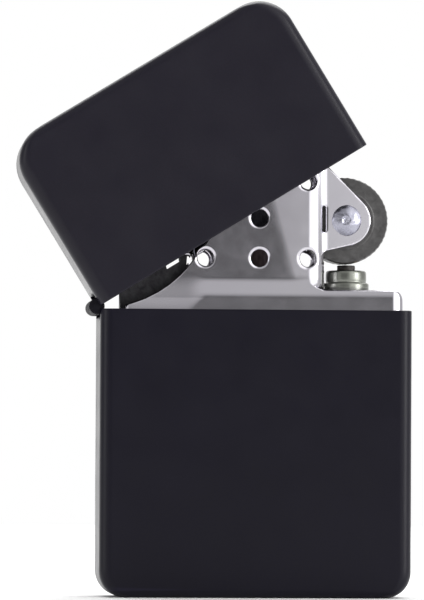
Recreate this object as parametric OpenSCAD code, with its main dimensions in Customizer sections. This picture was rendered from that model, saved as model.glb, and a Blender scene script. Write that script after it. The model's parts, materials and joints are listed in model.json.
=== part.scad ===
// Flip-top petrol lighter: painted case and lid, steel insert with windscreen.
// Origin at the middle of the case's base. +Z up, +X away from the hinge, the front faces -Y.
// The lid is drawn part open.

/* [Case and lid] */
// Width of the case
case_w = 38; // [38:0.1:38.4]
// Depth of the case, front to back
case_d = 13; // [13:0.1:13.4]
// Height of the case without the lid
case_h = 35; // [34.8:0.1:35]
// Height of the lid
lid_h = 22.4; // [21.8:0.1:24]
// Thickness of the painted sheet
wall = 0.5; // [0.45:0.05:0.6]
// Radius of the upright edges of case and lid
edge_r = 1.5; // [1.3:0.1:1.8]
// Radius of the case's lower corners, seen from the front
case_corner_r = 3.2; // [2.8:0.1:3.4]
// Radius of the lid's upper corners, seen from the front
lid_corner_r = 4.6; // [4:0.1:5]
// Radius of the long edges of the base and of the lid's top
long_edge_r = 1; // [0.9:0.05:1]

/* [Hinge] */
// Angle by which the lid stands open
lid_open = 31.5; // [25:0.5:32]
// Height of the hinge axis
hinge_z = 35.3; // [35.25:0.05:35.35]
// Distance of the hinge axis from the case's side, outwards
hinge_out = 0.4; // [0.35:0.05:0.45]
// Radius of the knuckles
knuckle_r = 0.95; // [0.9:0.05:0.95]
// Radius of the hinge pin
pin_r = 0.5; // [0.45:0.05:0.5]

/* [Insert] */
// Left end of the insert
insert_x0 = -16.5; // [-16.6:0.1:-16.4]
// Right end of the insert
insert_x1 = 18.1; // [18:0.05:18.15]
// Depth of the insert, front to back
insert_d = 11; // [10.8:0.1:11]
// Thickness of the insert's steel sheet
sheet = 0.5; // [0.4:0.05:0.5]
// Height of the joint between the tank and the windscreen
seam_z = 33.6; // [33.5:0.1:33.7]
// Height of the deck's upper face
deck_z = 37.5; // [37.4:0.1:37.6]

/* [Windscreen] */
// Left side of the chimney
chimney_x0 = -7.75; // [-7.8:0.05:-7.75]
// Right side of the chimney
chimney_x1 = 8.5; // [8.3:0.05:8.5]
// Depth of the chimney, front to back
chimney_d = 9.4; // [9.2:0.1:9.5]
// Height of the chimney's top edge
chimney_z = 53.5; // [52.5:0.1:54]
// Radius of the air holes
hole_r = 1.05; // [0.9:0.05:1.15]
// Radius of the sweep from the chimney down to the insert's left end
sweep_r = 14.24; // [14.2:0.02:14.3]

/* [Wheel and flint] */
// Distance of the wheel's axle to the right of the middle
wheel_x = 11.05; // [10.95:0.05:11.05]
// Height of the wheel's axle
wheel_z = 46.05; // [45.95:0.05:46.1]
// Outer radius of the flint wheel
wheel_r = 5.3; // [5.1:0.05:5.3]
// Width of the flint wheel
wheel_w = 4.8; // [4.4:0.1:4.8]
// Number of teeth
wheel_teeth = 44; // [36:2:48]
// Radius of the axle
axle_r = 1.1; // [1:0.05:1.2]
// Radius of the flint
flint_r = 1.15; // [1.1:0.05:1.2]

/* [Cam] */
// Place of the cam's axle, to the right of the middle
cam_x = -9.6; // [-9.7:0.05:-9.5]
// Height of the cam's axle
cam_z = 43.6; // [43.5:0.05:43.7]
// Thickness of the cam
cam_w = 2.8; // [2.4:0.1:2.9]

/* [Wick and packing] */
// Radius of the wick
wick_r = 1.6; // [1.4:0.1:1.7]
// Height of the wick's tip
wick_z = 48.2; // [47.3:0.1:49]
// Number of cotton wads, one above the other
wads = 4; // [3:1:5]

/* [Hidden] */

paint = [0.13, 0.13, 0.15];
bright_steel = [0.78, 0.79, 0.8];
dark_steel = [0.3, 0.3, 0.31];
hinge_x = -case_w / 2 - hinge_out;
lid_gap = 0.15;
lid_z = case_h + lid_gap;
leaf_t = 0.4;
leaf_y = 4.9;
leaf_h = 8;
leaf_x = -case_w / 2 + wall;
knuckle_count = 5;
hinge_len = 10;
knuckle_gap = 0.1;
pin_clearance = 0.04;
notch_h = 1.3;
notch_half = hinge_len / 2 + 0.1;
tab_len = 1.1;
tab_half = 1.3;

half_in = insert_d / 2;
half_ch = chimney_d / 2;
shoulder_z0 = 36.4;
shoulder_z1 = 39;
shoulder_drop = half_in - half_ch;
shoulder_turn = 2 * atan(shoulder_drop / (shoulder_z1 - shoulder_z0));
shoulder_r = (shoulder_z1 - shoulder_z0) / 2 / sin(shoulder_turn);
sweep_x = -19.25;
sweep_z = 49.4;
cheek_top_z = 41.7;
trough_z = 34.1;
deck_end_r = 1.4;
chimney_r = 2.1;

hole_cols = [-6.2, 0.4, 6.35];
hole_rows = [41.3, 46.2, 50.8];
ear_y = 2.65;
ear_tip_r = 3.1;
ear_z0 = 42.1;
ear_top_x = 8.1;
ear_gap_z = 41;
jog_x = 9.15;
cam_ear_y = 1.6;
cam_ear_r = 1.9;
cam_axle_r = 0.8;
axle_clearance = 0.05;
spring_rivet_x = -9.2;
spring_rivet_r = 0.7;

tube_x = 11.4;
tube_bore_r = 1.3;
tube_r = 1.8;
tube_z0 = 4;
tube_z1 = 40;
flint_z0 = 35;
flint_gap = 0.08;
pusher_z0 = 32.3;
screw_z1 = 8.5;
wire_r = 0.18;
coils = 18;
coil_steps = 14;
wick_x = 0.4;
wick_z0 = 8;
core_r = 0.3;
felt_z0 = 1.8;
felt_z1 = 4.6;
wad_x1 = 8.6;
wad_gap = 0.15;

// ---- outlines and frames ----

// Rectangle from x0 to x1 and z0 to z1 with round corners
module soft_rect(x0, x1, z0, z1, r) {
    translate([x0 + r, z0])
        square([x1 - x0 - 2 * r, z1 - z0]);
    translate([x0, z0 + r])
        square([x1 - x0, z1 - z0 - 2 * r]);
    for (x = [x0 + r, x1 - r], z = [z0 + r, z1 - r])
        translate([x, z])
            circle(r, $fn = 48);
}

// Rectangle whose two lower corners are round
module soft_base(x0, x1, z0, z1, r) {
    translate([x0, z0 + r])
        square([x1 - x0, z1 - z0 - r]);
    translate([x0 + r, z0])
        square([x1 - x0 - 2 * r, r]);
    for (x = [x0 + r, x1 - r])
        translate([x, z0 + r])
            circle(r, $fn = 64);
}

// Stands an outline up and runs it from front to back
module front_to_back(half) {
    translate([0, half, 0])
        rotate([90, 0, 0])
            linear_extrude(2 * half)
                children();
}

// Stands an outline up and runs it from left to right
module left_to_right(x0, x1) {
    translate([x0, 0, 0])
        rotate([90, 0, 90])
            linear_extrude(x1 - x0)
                children();
}

// Upright box with round edges below, open to z1 above
module tub(x0, x1, half, z0, z1, corner, long, edge) {
    intersection() {
        translate([0, 0, z0])
            linear_extrude(z1 - z0)
                soft_rect(x0, x1, -half, half, edge);
        front_to_back(half)
            soft_base(x0, x1, z0, z1, corner);
        left_to_right(x0, x1)
            soft_base(-half, half, z0, z1, long);
    }
}

// Turns what belongs to the lid from closed to where it stands
module lid_pose() {
    translate([hinge_x, 0, hinge_z])
        rotate([0, -lid_open, 0])
            translate([-hinge_x, 0, -hinge_z])
                children();
}

module cross_pin(x, z, r, half) {
    translate([x, half, z])
        rotate([90, 0, 0])
            cylinder(h = 2 * half, r = r, $fn = 48);
}

// Domed rivet head on the front, with a small centre dimple, seat at y = -seat
module rivet_head(x, z, seat, head_r, head_h, dimple) {
    dome_r = (head_r * head_r + head_h * head_h) / 2 / head_h;
    translate([x, -seat, z])
        rotate([90, 0, 0])
            difference() {
                intersection() {
                    translate([0, 0, head_h - dome_r])
                        sphere(dome_r, $fn = 64);
                    cylinder(h = head_h + 1, r = head_r + 1, $fn = 48);
                }
                if (dimple > 0)
                    translate([0, 0, head_h - 0.2])
                        cylinder(h = 1, r = dimple, $fn = 24);
            }
}

// A pin with a domed head at both ends
module rivet(x, z, r, seat, head_r, head_h, dimple) {
    cross_pin(x, z, r, seat);
    rivet_head(x, z, seat, head_r, head_h, dimple);
    mirror([0, 1, 0])
        rivet_head(x, z, seat, head_r, head_h, dimple);
}

// ---- case, lid and hinge ----

// Box of painted sheet, closed below and open at its top edge
module sheet_box(h, corner_r) {
    half_w = case_w / 2;
    half_d = case_d / 2;
    difference() {
        tub(-half_w, half_w, half_d, 0, h, corner_r, long_edge_r, edge_r);
        tub(-half_w + wall, half_w - wall, half_d - wall, wall, h + 1, corner_r - wall,
            long_edge_r - wall, edge_r - wall);
    }
}

module case_shell() {
    color(paint)
        difference() {
            sheet_box(case_h, case_corner_r);
            translate([-case_w / 2 - 1, -notch_half, case_h - notch_h + 0.3])
                cube([wall + 1.2, 2 * notch_half, notch_h]);
        }
}

module lid_shell() {
    color(paint)
        lid_pose()
            difference() {
                translate([0, 0, lid_z + lid_h])
                    mirror([0, 0, 1])
                        sheet_box(lid_h, lid_corner_r);
                translate([-case_w / 2 - 1, -notch_half, hinge_z - 1])
                    cube([wall + 1.2, 2 * notch_half, notch_h + 1]);
            }
}

// Side view of one leaf with its rolled knuckle; up is 1 for the lid's leaf and -1 for the case's
module leaf_outline(up, rolled) {
    strap = 0.55;
    translate([leaf_x, hinge_z + min(up * leaf_h, up * strap)])
        square([leaf_t, leaf_h - strap]);
    if (rolled) {
        translate([hinge_x, hinge_z])
            circle(knuckle_r, $fn = 48);
        translate([hinge_x, hinge_z + min(up * strap, up * knuckle_r)])
            square([leaf_x + leaf_t - hinge_x, knuckle_r - strap]);
    }
}

// Knuckles first, first + 2 and so on, with their leaf
module leaf(up, first, bore) {
    pitch = hinge_len / knuckle_count;
    difference() {
        union() {
            front_to_back(leaf_y)
                leaf_outline(up, false);
            for (k = [first : 2 : knuckle_count - 1])
                translate([0, -hinge_len / 2 + (k + 0.5) * pitch, 0])
                    front_to_back((pitch - knuckle_gap) / 2)
                        leaf_outline(up, true);
        }
        cross_pin(hinge_x, hinge_z, bore, hinge_len);
    }
}

module case_hinge_leaf() {
    color(paint)
        leaf(-1, 0, pin_r);
}

module lid_hinge_leaf() {
    color(paint)
        lid_pose() {
            leaf(1, 1, pin_r + pin_clearance);
            translate([leaf_x + leaf_t, -tab_half, hinge_z + 0.7])
                cube([tab_len, 2 * tab_half, leaf_t]);
        }
}

module hinge_pin() {
    color(dark_steel)
        cross_pin(hinge_x, hinge_z, pin_r, hinge_len / 2);
}

// ---- insert ----

module tank_shell() {
    corner = 3.4;
    color(bright_steel)
        difference() {
            intersection() {
                translate([0, 0, wall])
                    linear_extrude(seam_z - wall)
                        soft_rect(insert_x0, insert_x1, -half_in, half_in, edge_r);
                front_to_back(half_in)
                    soft_base(insert_x0, insert_x1, wall, seam_z, corner);
            }
            linear_extrude(seam_z + 1)
                soft_rect(insert_x0 + sheet, insert_x1 - sheet, -half_in + sheet, half_in - sheet,
                    edge_r - sheet);
        }
}

// Front view of the windscreen's lower part: deck, foot of the chimney and the sweep at the left
module deck_front(inset) {
    translate([insert_x0 + inset, seam_z])
        square([insert_x1 - insert_x0 - 2 * inset - deck_end_r, deck_z - inset - seam_z]);
    translate([insert_x0 + inset, seam_z])
        square([insert_x1 - insert_x0 - 2 * inset, deck_z - deck_end_r - inset - seam_z]);
    translate([insert_x1 - inset - deck_end_r, deck_z - inset - deck_end_r])
        circle(deck_end_r, $fn = 48);
}

module deck_outline() {
    difference() {
        union() {
            deck_front(0);
            translate([insert_x0, seam_z])
                square([chimney_x1 - insert_x0, cheek_top_z - seam_z]);
        }
        translate([sweep_x, sweep_z])
            circle(sweep_r, $fn = 128);
    }
}

// Side view of the shoulder: upright skirt, then an S-curve in to the chimney's wall
module shoulder_side(inset, z1) {
    mid_y = (half_in + half_ch) / 2 - inset;
    mid_z = (shoulder_z0 + shoulder_z1) / 2;
    for (s = [-1, 1])
        on_side(s) {
            square([half_in - inset, shoulder_z0]);
            square([half_ch - inset, z1]);
            difference() {
                polygon([[0, shoulder_z0 - 1], [half_in - inset, shoulder_z0 - 1],
                    [half_in - inset, shoulder_z0], [mid_y, mid_z],
                    [half_ch - inset, shoulder_z1], [0, shoulder_z1]]);
                translate([half_ch - inset + shoulder_r, shoulder_z1])
                    circle(shoulder_r, $fn = 96);
            }
            intersection() {
                translate([half_in - inset - shoulder_r, shoulder_z0])
                    circle(shoulder_r, $fn = 96);
                translate([0, shoulder_z0])
                    square([half_in, mid_z - shoulder_z0]);
            }
        }
}

// Keeps a flat outline for side 1 and mirrors it left to right for side -1
module on_side(s) {
    if (s > 0)
        children();
    else
        mirror([1, 0])
            children();
}

module plan_body(inset, z0, z1) {
    translate([0, 0, z0])
        linear_extrude(z1 - z0)
            soft_rect(insert_x0 + inset, insert_x1 - inset, -half_in + inset, half_in - inset,
                edge_r - inset / 2);
}

module chimney_body(inset, z0, z1) {
    translate([0, 0, z0])
        linear_extrude(z1 - z0)
            soft_rect(chimney_x0 + inset, chimney_x1 - inset, -half_ch + inset, half_ch - inset,
                chimney_r - inset);
}

// Plan of one wheel ear: leaves the chimney's corner, jogs inwards, then runs straight
module ear_plan() {
    ear_x1 = wheel_x + ear_tip_r + 1;
    for (s = [-1, 1])
        polygon([[chimney_x1 - 0.9, s * (half_ch - 0.5)], [chimney_x1 - 0.3, s * (half_ch - 0.9)],
            [jog_x, s * (ear_y + sheet)], [ear_x1, s * (ear_y + sheet)], [ear_x1, s * ear_y],
            [jog_x - 0.25, s * ear_y], [chimney_x1 - 0.6, s * (half_ch - 1.4)]]);
}

module ear_front() {
    polygon([[chimney_x1 - 1, ear_z0], [wheel_x, wheel_z - ear_tip_r],
        [wheel_x + ear_tip_r * sin(45), wheel_z + ear_tip_r * cos(45)],
        [ear_top_x, chimney_z - 0.1], [chimney_x1 - 1, chimney_z - 0.1]]);
    translate([wheel_x, wheel_z])
        circle(ear_tip_r, $fn = 64);
}

module cam_ears() {
    intersection() {
        front_to_back(cam_ear_y + sheet) {
            translate([cam_x, cam_z])
                circle(cam_ear_r, $fn = 48);
            translate([cam_x, cam_z - cam_ear_r])
                square([chimney_x0 - cam_x + 0.3, 2 * cam_ear_r]);
        }
        for (s = [-1, 1])
            translate([cam_x - 3, s * (cam_ear_y + sheet / 2) - sheet / 2, 0])
                cube([9, sheet, 60]);
    }
}

module air_holes() {
    for (c = [0 : 2], r = [0 : 2])
        if (c == 1 || r != 1)
            cross_pin(hole_cols[c], hole_rows[r], hole_r, insert_d);
    // the side holes of the middle row sit in the slanted strips beside the ears
    front_to_back(insert_d)
        soft_rect(jog_x - 1, jog_x - 0.45, hole_rows[1] - 1.6, hole_rows[1] + 1.6, 0.27);
}

module windscreen_solid() {
    intersection() {
        plan_body(0, seam_z, cheek_top_z);
        front_to_back(half_in)
            deck_outline();
        left_to_right(insert_x0, insert_x1)
            shoulder_side(0, cheek_top_z);
    }
    chimney_body(0, deck_z, chimney_z);
    intersection() {
        translate([0, 0, ear_z0 - 1])
            linear_extrude(chimney_z - ear_z0 + 1)
                ear_plan();
        front_to_back(half_in)
            ear_front();
    }
}

module windscreen_voids() {
    // trough for the cam, between the two cheeks
    intersection() {
        left_to_right(insert_x0 - 1, chimney_x0)
            shoulder_side(sheet, cheek_top_z + 1);
        translate([insert_x0 - 1, -half_in, trough_z])
            cube([chimney_x0 - insert_x0 + 1, insert_d, cheek_top_z + 1 - trough_z]);
    }
    // room under the deck
    intersection() {
        plan_body(sheet, seam_z - 1, deck_z - sheet);
        translate([chimney_x0 + sheet, -half_in, 0])
            cube([insert_x1 - chimney_x0, insert_d, 60]);
        left_to_right(insert_x0, insert_x1)
            shoulder_side(sheet, deck_z);
        front_to_back(half_in)
            translate([0, -0.01])
                deck_front(sheet);
    }
    chimney_body(sheet, deck_z, chimney_z + 1);
    // the chimney is open between the wheel ears, so that sparks reach the wick
    translate([chimney_x1 - 1, -ear_y, ear_gap_z])
        cube([2, 2 * ear_y, chimney_z]);
    translate([wick_x, 0, deck_z - 1])
        cylinder(h = 2, r = wick_r + 0.1, $fn = 48);
    translate([tube_x, 0, deck_z - 1])
        cylinder(h = 2, r = tube_r, $fn = 48);
    air_holes();
    cross_pin(wheel_x, wheel_z, axle_r, insert_d);
    translate([spring_rivet_x, 0, seam_z - 1])
        cylinder(h = 2, r = spring_rivet_r, $fn = 32);
}

module windscreen() {
    color(bright_steel) {
        difference() {
            windscreen_solid();
            windscreen_voids();
        }
        difference() {
            cam_ears();
            cross_pin(cam_x, cam_z, cam_axle_r, insert_d);
        }
    }
}

// ---- wheel and flint ----

module flint_wheel() {
    tooth_h = 0.35;
    step = 360 / wheel_teeth;
    hub_r = 3.6;
    rim_w = wheel_w - 0.6;
    color(dark_steel)
        translate([wheel_x, 0, wheel_z])
            difference() {
                union() {
                    rotate([90, 0, 0])
                        translate([0, 0, -rim_w / 2])
                            linear_extrude(rim_w)
                                polygon([for (k = [0 : 2 * wheel_teeth - 1])
                                    (k % 2 == 0 ? wheel_r : wheel_r - tooth_h)
                                    * [cos(k * step / 2), sin(k * step / 2)]]);
                    rotate([90, 0, 0])
                        translate([0, 0, -wheel_w / 2])
                            cylinder(h = wheel_w, r = hub_r, $fn = 48);
                }
                cross_pin(0, 0, axle_r + axle_clearance, wheel_w);
            }
}

module wheel_rivet() {
    color(bright_steel)
        rivet(wheel_x, wheel_z, axle_r, ear_y + sheet, 1.85, 0.75, 0.45);
}

module flint_tube() {
    color("peru")
        translate([tube_x, 0, tube_z0])
            difference() {
                cylinder(h = tube_z1 - tube_z0, r = tube_r, $fn = 48);
                translate([0, 0, -1])
                    cylinder(h = tube_z1 - tube_z0 + 2, r = tube_bore_r, $fn = 48);
            }
}

module tube_collar() {
    flare_h = 1;
    flare_r = 2.8;
    upper_r = 2.5;
    color([0.62, 0.64, 0.6])
        translate([tube_x, 0, deck_z])
            difference() {
                union() {
                    cylinder(h = flare_h, r = flare_r, $fn = 48);
                    cylinder(h = tube_z1 - deck_z, r = upper_r, $fn = 48);
                }
                translate([0, 0, -1])
                    cylinder(h = tube_z1 - deck_z + 2, r = tube_r, $fn = 48);
            }
}

module flint() {
    top = wheel_z - wheel_r - flint_gap;
    color([0.25, 0.24, 0.23])
        translate([tube_x, 0, flint_z0])
            cylinder(h = top - flint_z0, r = flint_r, $fn = 32);
}

module flint_pusher() {
    nose = 1.2;
    color("goldenrod")
        translate([tube_x, 0, pusher_z0]) {
            translate([0, 0, nose])
                cylinder(h = flint_z0 - pusher_z0 - nose, r = flint_r, $fn = 32);
            cylinder(h = nose, r = 0.6, $fn = 24);
        }
}

function coil_point(t, r, z0, z1) =
    [r * cos(360 * coils * t), r * sin(360 * coils * t), z0 + (z1 - z0) * t];

// One ring of the wire's skin, square to a level circle
function coil_ring(t, r, z0, z1, sides) =
    [for (k = [0 : sides - 1])
        let (p = coil_point(t, r, z0, z1), a = 360 * k / sides, turn = 360 * coils * t)
        p + wire_r * [cos(a) * cos(turn), cos(a) * sin(turn), sin(a)]];

module flint_spring() {
    sides = 6;
    rings = coils * coil_steps;
    r = flint_r - wire_r;
    z0 = screw_z1 + wire_r;
    z1 = pusher_z0 + 1.2 - wire_r;
    points = [for (k = [0 : rings]) each coil_ring(k / rings, r, z0, z1, sides)];
    skin = [for (k = [0 : rings - 1], s = [0 : sides - 1])
        let (n = (s + 1) % sides)
        [k * sides + s, (k + 1) * sides + s, (k + 1) * sides + n, k * sides + n]];
    ends = [[for (s = [0 : sides - 1]) s], [for (s = [sides - 1 : -1 : 0]) rings * sides + s]];
    color("silver")
        translate([tube_x, 0, 0])
            polyhedron(points, concat(skin, ends));
}

module flint_screw() {
    head_r = 2.3;
    head_h = 1.4;
    color("goldenrod")
        translate([tube_x, 0, 0])
            difference() {
                union() {
                    translate([0, 0, tube_z0 - head_h])
                        cylinder(h = head_h, r = head_r, $fn = 48);
                    translate([0, 0, tube_z0 - 0.5])
                        cylinder(h = screw_z1 - tube_z0 + 0.5, r = tube_bore_r, $fn = 48);
                }
                translate([-head_r - 1, -0.35, tube_z0 - head_h - 0.1])
                    cube([2 * head_r + 2, 0.7, 0.8]);
            }
}

// ---- cam ----

module cam() {
    boss_r = 1.5;
    color(dark_steel)
        difference() {
            union() {
                cross_pin(cam_x, cam_z, boss_r, cam_w / 2);
                // tail: its lower edge follows the sweep, and a nick parts it from the boss above
                front_to_back(cam_w / 2)
                    polygon([[cam_x + boss_r - 0.3, cam_z], [cam_x + boss_r - 0.1, 42], [-8.5, 38],
                        [-9.4, 36.2], [-12, 35.3], [-16.4, 35.2], [-16.4, 37.6], [-14.2, 39.2],
                        [-11, 41.2], [-10.7, 40], [-9.05, 41], [-9.2, 42.3], [cam_x - 0.5, cam_z]]);
            }
            cross_pin(cam_x, cam_z, cam_axle_r + axle_clearance, cam_w);
        }
}

module cam_rivet() {
    color(bright_steel)
        rivet(cam_x, cam_z, cam_axle_r, cam_ear_y + sheet, 1.25, 0.5, 0);
}

// Leaf spring flat on the trough's floor, its free end lifted a little
module cam_spring() {
    t = 0.3;
    color(dark_steel)
        difference() {
            front_to_back(1.7) {
                translate([-14.2, trough_z])
                    square([6.3, t]);
                polygon([[-14.2, trough_z], [-14.2, trough_z + t], [-15.9, trough_z + t + 0.15],
                    [-15.9, trough_z + 0.15]]);
            }
            translate([spring_rivet_x, 0, trough_z - 1])
                cylinder(h = 2, r = spring_rivet_r, $fn = 32);
        }
}

module cam_spring_rivet() {
    head_h = 0.45;
    color(bright_steel)
        translate([spring_rivet_x, 0, 0]) {
            translate([0, 0, seam_z])
                cylinder(h = trough_z + 0.3 - seam_z, r = spring_rivet_r, $fn = 32);
            translate([0, 0, trough_z + 0.3])
                cylinder(h = head_h, r = 1.3, $fn = 32);
        }
}

// ---- wick and packing ----

module wick() {
    color("wheat")
        translate([wick_x, 0, wick_z0])
            difference() {
                cylinder(h = wick_z - wick_z0, r = wick_r, $fn = 48);
                translate([0, 0, -1])
                    cylinder(h = wick_z - wick_z0 + 2, r = core_r, $fn = 24);
            }
}

module wick_wire() {
    tip = 0.5;
    color([0.72, 0.45, 0.2])
        translate([wick_x, 0, wick_z0])
            cylinder(h = wick_z + tip - wick_z0, r = core_r, $fn = 24);
}

module wad(z0, z1) {
    x0 = insert_x0 + sheet + 0.3;
    half = half_in - sheet - 0.2;
    r = 2.2;
    intersection() {
        translate([0, 0, z0])
            linear_extrude(z1 - z0)
                soft_rect(x0, wad_x1, -half, half, r);
        front_to_back(half)
            soft_rect(x0, wad_x1, z0, z1, r);
        left_to_right(x0, wad_x1)
            soft_rect(-half, half, z0, z1, r);
    }
}

module cotton_packing() {
    z0 = felt_z1 + wad_gap;
    pitch = (seam_z - z0) / wads;
    color("white")
        difference() {
            for (k = [0 : wads - 1])
                wad(z0 + k * pitch, z0 + (k + 1) * pitch - wad_gap);
            translate([wick_x, 0, 0])
                cylinder(h = 40, r = wick_r, $fn = 48);
        }
}

module felt_pad() {
    half = half_in - sheet;
    color([0.9, 0.88, 0.8])
        difference() {
            translate([0, 0, felt_z0])
                linear_extrude(felt_z1 - felt_z0)
                    soft_rect(insert_x0 + 1.2, insert_x1 - 1.2, -half, half, 1);
            translate([tube_x, 0, 0])
                cylinder(h = 10, r = 2.5, $fn = 48);
        }
}

case_shell();
lid_shell();
case_hinge_leaf();
lid_hinge_leaf();
hinge_pin();
tank_shell();
windscreen();
flint_wheel();
wheel_rivet();
flint_tube();
tube_collar();
flint();
flint_pusher();
flint_spring();
flint_screw();
cam();
cam_rivet();
cam_spring();
cam_spring_rivet();
wick();
wick_wire();
cotton_packing();
felt_pad();
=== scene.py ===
"""Looks of the flip-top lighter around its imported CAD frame.

Sizes are in millimetres unless a name says metres.
"""

import json
import math

import bmesh
import bpy
import numpy as np
from mathutils import Matrix, Vector


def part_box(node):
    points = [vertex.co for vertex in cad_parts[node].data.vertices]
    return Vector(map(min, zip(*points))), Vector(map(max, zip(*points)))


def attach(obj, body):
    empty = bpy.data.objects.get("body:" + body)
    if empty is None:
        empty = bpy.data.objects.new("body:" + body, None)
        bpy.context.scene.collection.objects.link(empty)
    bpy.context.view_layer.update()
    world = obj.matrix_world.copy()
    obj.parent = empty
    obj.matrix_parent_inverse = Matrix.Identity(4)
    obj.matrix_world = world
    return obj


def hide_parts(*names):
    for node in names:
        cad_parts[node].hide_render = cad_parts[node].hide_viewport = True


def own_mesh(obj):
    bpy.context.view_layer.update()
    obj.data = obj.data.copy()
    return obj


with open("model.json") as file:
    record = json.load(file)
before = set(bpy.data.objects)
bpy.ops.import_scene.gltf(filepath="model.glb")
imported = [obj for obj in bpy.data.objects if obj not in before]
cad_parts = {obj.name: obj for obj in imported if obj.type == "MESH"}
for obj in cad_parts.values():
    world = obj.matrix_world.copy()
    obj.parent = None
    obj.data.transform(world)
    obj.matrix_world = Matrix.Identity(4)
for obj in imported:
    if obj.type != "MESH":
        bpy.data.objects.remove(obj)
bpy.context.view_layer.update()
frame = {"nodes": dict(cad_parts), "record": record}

MM = 0.001
TURN = 2 * math.pi
LID_OPEN = math.radians(31.5)


def joint_mm(name):
    """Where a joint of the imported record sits."""
    joint = next(j for j in frame["record"]["behaviour"]["joints"] if j["name"] == name)
    return np.array(joint["pos_m"]) / MM


def box_mm(node):
    lo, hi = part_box(node)
    return np.array(lo) / MM, np.array(hi) / MM


HINGE = joint_mm("lid_hinge")
CAM = joint_mm("cam_pivot")
WHEEL = joint_mm("wheel_spin")

# ---- sizes: from the frame where it gives them, otherwise the design's own ----

case_lo, case_hi = box_mm("case_shell")
screen_lo, _ = box_mm("windscreen")
flint_lo, flint_hi = box_mm("flint")
wick_lo, wick_hi = box_mm("wick")
_, collar_hi = box_mm("tube_collar")
CASE_W = case_hi[0] - case_lo[0]
CASE_D = case_hi[1] - case_lo[1]
CASE_H = case_hi[2]
WALL = 0.5
EDGE_R = 1.5
CASE_CORNER_R = 3.2
LID_CORNER_R = 4.6
LONG_EDGE_R = 1.0
LID_Z = CASE_H + 0.15
LID_H = 22.4
NOTCH_HALF = 5.1
CASE_NOTCH_Z = 34.0
LID_NOTCH_Z = 36.6

SHEET = 0.5
SEAM_Z = screen_lo[2]
INSERT_X0 = screen_lo[0]
INSERT_X1 = 18.1
HALF_IN = 5.5
HALF_CH = 4.7
DECK_Z = 37.5
SHOULDER_Z0 = 36.4
SHOULDER_Z1 = 39.0
CHIMNEY_X0 = -7.75
CHIMNEY_X1 = 8.5
CHIMNEY_R = 2.1
CHIMNEY_Z = 53.5
SWEEP_X, SWEEP_Z, SWEEP_R = -19.25, 49.4, 14.24
CHEEK_Z = 41.7
CREASE_X, CREASE_Z, CREASE_SLANT = 1.9, 47.7, 0.27
FACE_FALL = 0.06
EAR_LEAN = 0.07
TROUGH_Z = 34.1
HOLE_R = 1.05
HOLE_COLS = (-6.2, 0.4, 6.35)
HOLE_ROWS = (41.3, 46.2, 50.8)
EAR_Y = 2.65
EAR_TIP_R = 3.1
EAR_GAP_Z = 41.0
CAM_EAR_Y = 1.6
CAM_EAR_R = 1.9
CAM_AXLE_R = 0.8
CAM_SPRING_RIVET_X, CAM_SPRING_RIVET_R = -9.2, 0.7
SLIT_X0, SLIT_X1, SLIT_HALF, SLIT_R = 8.2, 8.58, 1.55, 0.19
TUBE_X = (flint_lo[0] + flint_hi[0]) / 2
TUBE_R = 1.8
WICK_X = (wick_lo[0] + wick_hi[0]) / 2
WICK_R = 1.6
AXLE_R = 1.1
WHEEL_R = 5.3
WHEEL_TEETH = 44


# ---- mesh helpers ----


def new_object(name, points, faces, material):
    """A smooth piece from points in millimetres."""
    mesh = bpy.data.meshes.new(name)
    mesh.from_pydata((np.asarray(points) * MM).tolist(), [], [list(map(int, f)) for f in faces])
    mesh.validate()
    mesh.update()
    obj = bpy.data.objects.new(name, mesh)
    bpy.context.collection.objects.link(obj)
    mesh.shade_smooth()
    mesh.materials.append(material)
    return obj


def apply_modifiers(obj):
    """Leaves the mesh as its modifiers show it."""
    depsgraph = bpy.context.evaluated_depsgraph_get()
    mesh = bpy.data.meshes.new_from_object(obj.evaluated_get(depsgraph))
    obj.modifiers.clear()
    obj.data = mesh


def tidy_mesh(obj, merge=1e-7):
    bm = bmesh.new()
    bm.from_mesh(obj.data)
    bmesh.ops.remove_doubles(bm, verts=bm.verts, dist=merge)
    bmesh.ops.dissolve_degenerate(bm, edges=bm.edges, dist=merge)
    bmesh.ops.recalc_face_normals(bm, faces=bm.faces)
    bm.to_mesh(obj.data)
    bm.free()
    obj.data.shade_smooth()


def cut_box(obj, lo, hi):
    """Takes a box away from a piece."""
    bm = bmesh.new()
    bmesh.ops.create_cube(bm, size=1)
    size, mid = (np.array(hi) - lo) * MM, (np.array(hi) + lo) / 2 * MM
    bmesh.ops.scale(bm, vec=size, verts=bm.verts)
    bmesh.ops.translate(bm, vec=mid, verts=bm.verts)
    mesh = bpy.data.meshes.new("cutter")
    bm.to_mesh(mesh)
    bm.free()
    cutter = bpy.data.objects.new("cutter", mesh)
    bpy.context.collection.objects.link(cutter)
    cut = obj.modifiers.new("cut", "BOOLEAN")
    cut.operation = "DIFFERENCE"
    cut.solver = "EXACT"
    cut.object = cutter
    apply_modifiers(obj)
    bpy.data.objects.remove(cutter)


def ring_xy(x0, x1, half, r, z, steps=10):
    """A level rounded rectangle, with extra points close to where its corners start."""
    r = max(min(r, half - 0.02, (x1 - x0) / 2 - 0.02), 0.02)
    guard = 0.12
    out = []
    corners = ((x1 - r, -half + r, -90), (x1 - r, half - r, 0),
               (x0 + r, half - r, 90), (x0 + r, -half + r, 180))
    for n, (cx, cy, start) in enumerate(corners):
        arc = [math.radians(start + 90 * k / steps) for k in range(steps + 1)]
        points = [(cx + r * math.cos(a), cy + r * math.sin(a)) for a in arc]
        nx, ny, ns = corners[(n + 1) % 4]
        first = (nx + r * math.cos(math.radians(ns)), ny + r * math.sin(math.radians(ns)))
        last = points[-1]
        out += points
        length = math.dist(last, first)
        side = min(guard / length, 0.4)
        for t in (side, 0.25, 0.5, 0.75, 1 - side):
            out.append((last[0] + (first[0] - last[0]) * t, last[1] + (first[1] - last[1]) * t))
    return [(x, y, z) for x, y in out]


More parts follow.
